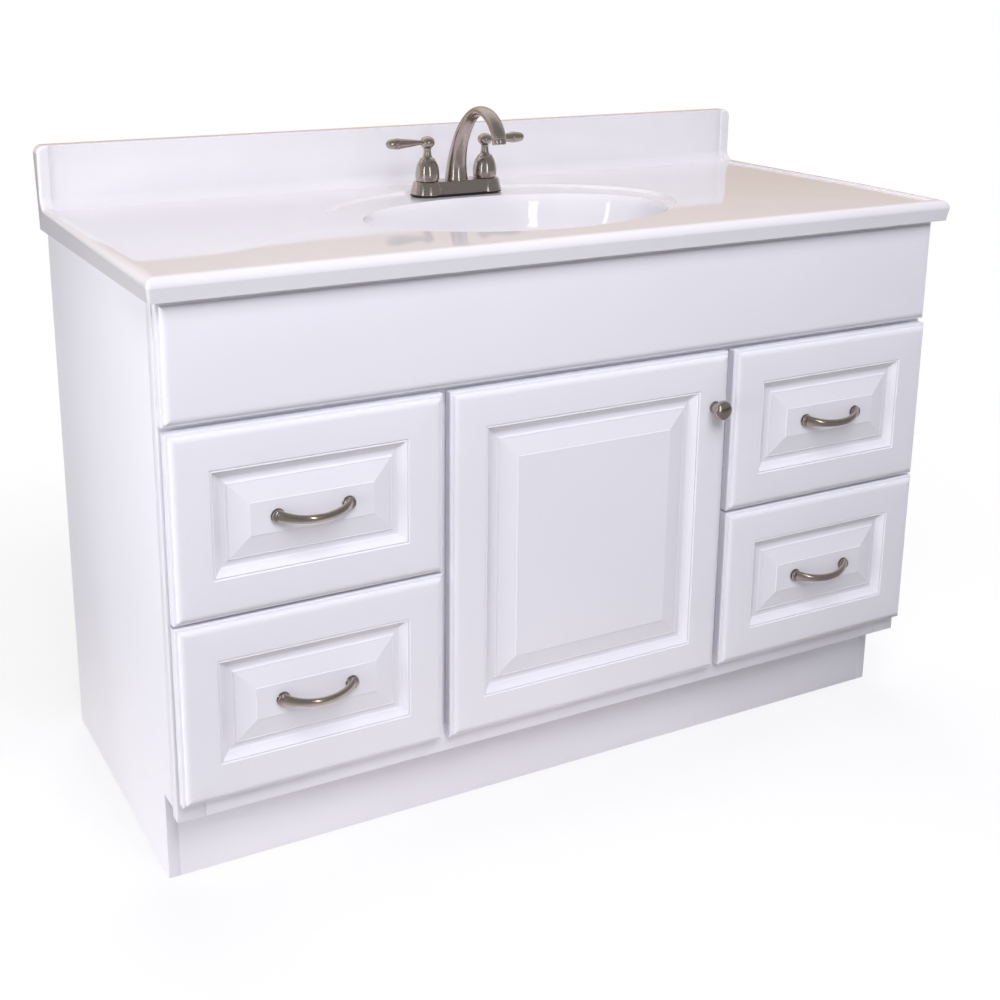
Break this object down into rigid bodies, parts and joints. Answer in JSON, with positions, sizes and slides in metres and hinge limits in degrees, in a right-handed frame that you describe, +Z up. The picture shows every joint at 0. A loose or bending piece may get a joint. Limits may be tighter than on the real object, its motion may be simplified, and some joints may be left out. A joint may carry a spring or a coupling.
{
  "type": "bathroom vanity cabinet",
  "caption": "White bathroom vanity: face-frame cabinet with a hinged door between drawers on slides, cast top with an oval basin and backsplash, and a two-handle nickel faucet.",
  "frame": {"origin": "on the floor, under the middle of the whole object's bounding box", "axes": "+X to the right of a person who faces the vanity, +Y to the wall, +Z up"},
  "size_m": [1.2446, 0.5734, 0.9725],
  "materials": {
    "white thermofoil": "smooth satin white film on a fibreboard core",
    "white melamine board": "matte white board",
    "birch plywood": "clear satin",
    "white cast marble": "polished white gel coat",
    "satin nickel": "satin",
    "zinc plated steel": "bright zinc",
    "chromed tube": "polished",
    "brass": "machined",
    "grey plastic": "moulded",
    "rubber": "matte",
    "clear soft plastic": "soft"
  },
  "bodies": {
    "cabinet": {"side_panel_left": "white thermofoil", "side_panel_right": "white thermofoil", "partition_left": "white melamine board", "partition_right": "white melamine board", "floor_panel": "white melamine board", "toe_kick": "white thermofoil", "back_rail_upper": "white melamine board", "back_rail_lower": "white melamine board", "corner_braces": "white melamine board", "stile_left": "white thermofoil", "stile_right": "white thermofoil", "top_rail": "white thermofoil", "mid_rail": "white thermofoil", "bottom_rail": "white thermofoil", "mullions": "white thermofoil", "drawer_rails": "white thermofoil", "false_front": "white thermofoil", "front_bumpers": "clear soft plastic", "hinge_arms": "zinc plated steel", "slide_channels": "zinc plated steel", "slide_spacers": "white melamine board", "vanity_top": "white cast marble", "drain_flange": "satin nickel", "drain_nut": "grey plastic", "drain_tailpiece": "chromed tube", "faucet_base": "satin nickel", "spout": "satin nickel", "aerator": "satin nickel", "valves": "brass", "faucet_nuts": "grey plastic", "gaskets": "rubber"},
    "door": {"door_panel": "white thermofoil", "door_knob": "satin nickel", "hinge_cups": "zinc plated steel", "hinge_pins": "zinc plated steel"},
    "drawer_upper_left": {"drawer_front_upper_left": "white thermofoil", "drawer_box_upper_left": "birch plywood", "drawer_bottom_upper_left": "birch plywood", "pull_upper_left": "satin nickel", "slide_runners_upper_left": "zinc plated steel"},
    "drawer_upper_right": {"drawer_front_upper_right": "white thermofoil", "drawer_box_upper_right": "birch plywood", "drawer_bottom_upper_right": "birch plywood", "pull_upper_right": "satin nickel", "slide_runners_upper_right": "zinc plated steel"},
    "drawer_lower_left": {"drawer_front_lower_left": "white thermofoil", "drawer_box_lower_left": "birch plywood", "drawer_bottom_lower_left": "birch plywood", "pull_lower_left": "satin nickel", "slide_runners_lower_left": "zinc plated steel"},
    "drawer_lower_right": {"drawer_front_lower_right": "white thermofoil", "drawer_box_lower_right": "birch plywood", "drawer_bottom_lower_right": "birch plywood", "pull_lower_right": "satin nickel", "slide_runners_lower_right": "zinc plated steel"},
    "faucet_handle_left": {"handle_left": "satin nickel", "lever_left": "satin nickel"},
    "faucet_handle_right": {"handle_right": "satin nickel", "lever_right": "satin nickel"},
    "stopper": {"drain_stopper": "satin nickel"}
  },
  "joints": [
    {"name": "door_swing", "type": "hinge", "parent": "cabinet", "child": "door", "pos_m": [-0.2188, -0.25025, 0.3908], "axis": [0, 0, -1], "range_deg": [0, 90]},
    {"name": "drawer_upper_left_slide", "type": "slide", "parent": "cabinet", "child": "drawer_upper_left", "axis": [0, -1, 0], "range_m": [0, 0.33]},
    {"name": "drawer_upper_right_slide", "type": "slide", "parent": "cabinet", "child": "drawer_upper_right", "axis": [0, -1, 0], "range_m": [0, 0.33]},
    {"name": "drawer_lower_left_slide", "type": "slide", "parent": "cabinet", "child": "drawer_lower_left", "axis": [0, -1, 0], "range_m": [0, 0.33]},
    {"name": "drawer_lower_right_slide", "type": "slide", "parent": "cabinet", "child": "drawer_lower_right", "axis": [0, -1, 0], "range_m": [0, 0.33]},
    {"name": "handle_left_turn", "type": "hinge", "parent": "cabinet", "child": "faucet_handle_left", "pos_m": [-0.0508, 0.15375, 0.8517], "axis": [0, 0, 1], "range_deg": [0, 90]},
    {"name": "handle_right_turn", "type": "hinge", "parent": "cabinet", "child": "faucet_handle_right", "pos_m": [0.0508, 0.15375, 0.8517], "axis": [0, 0, -1], "range_deg": [0, 90]},
    {"name": "stopper_lift", "type": "slide", "parent": "cabinet", "child": "stopper", "axis": [0, 0, 1], "range_m": [0, 0.008]}
  ]
}
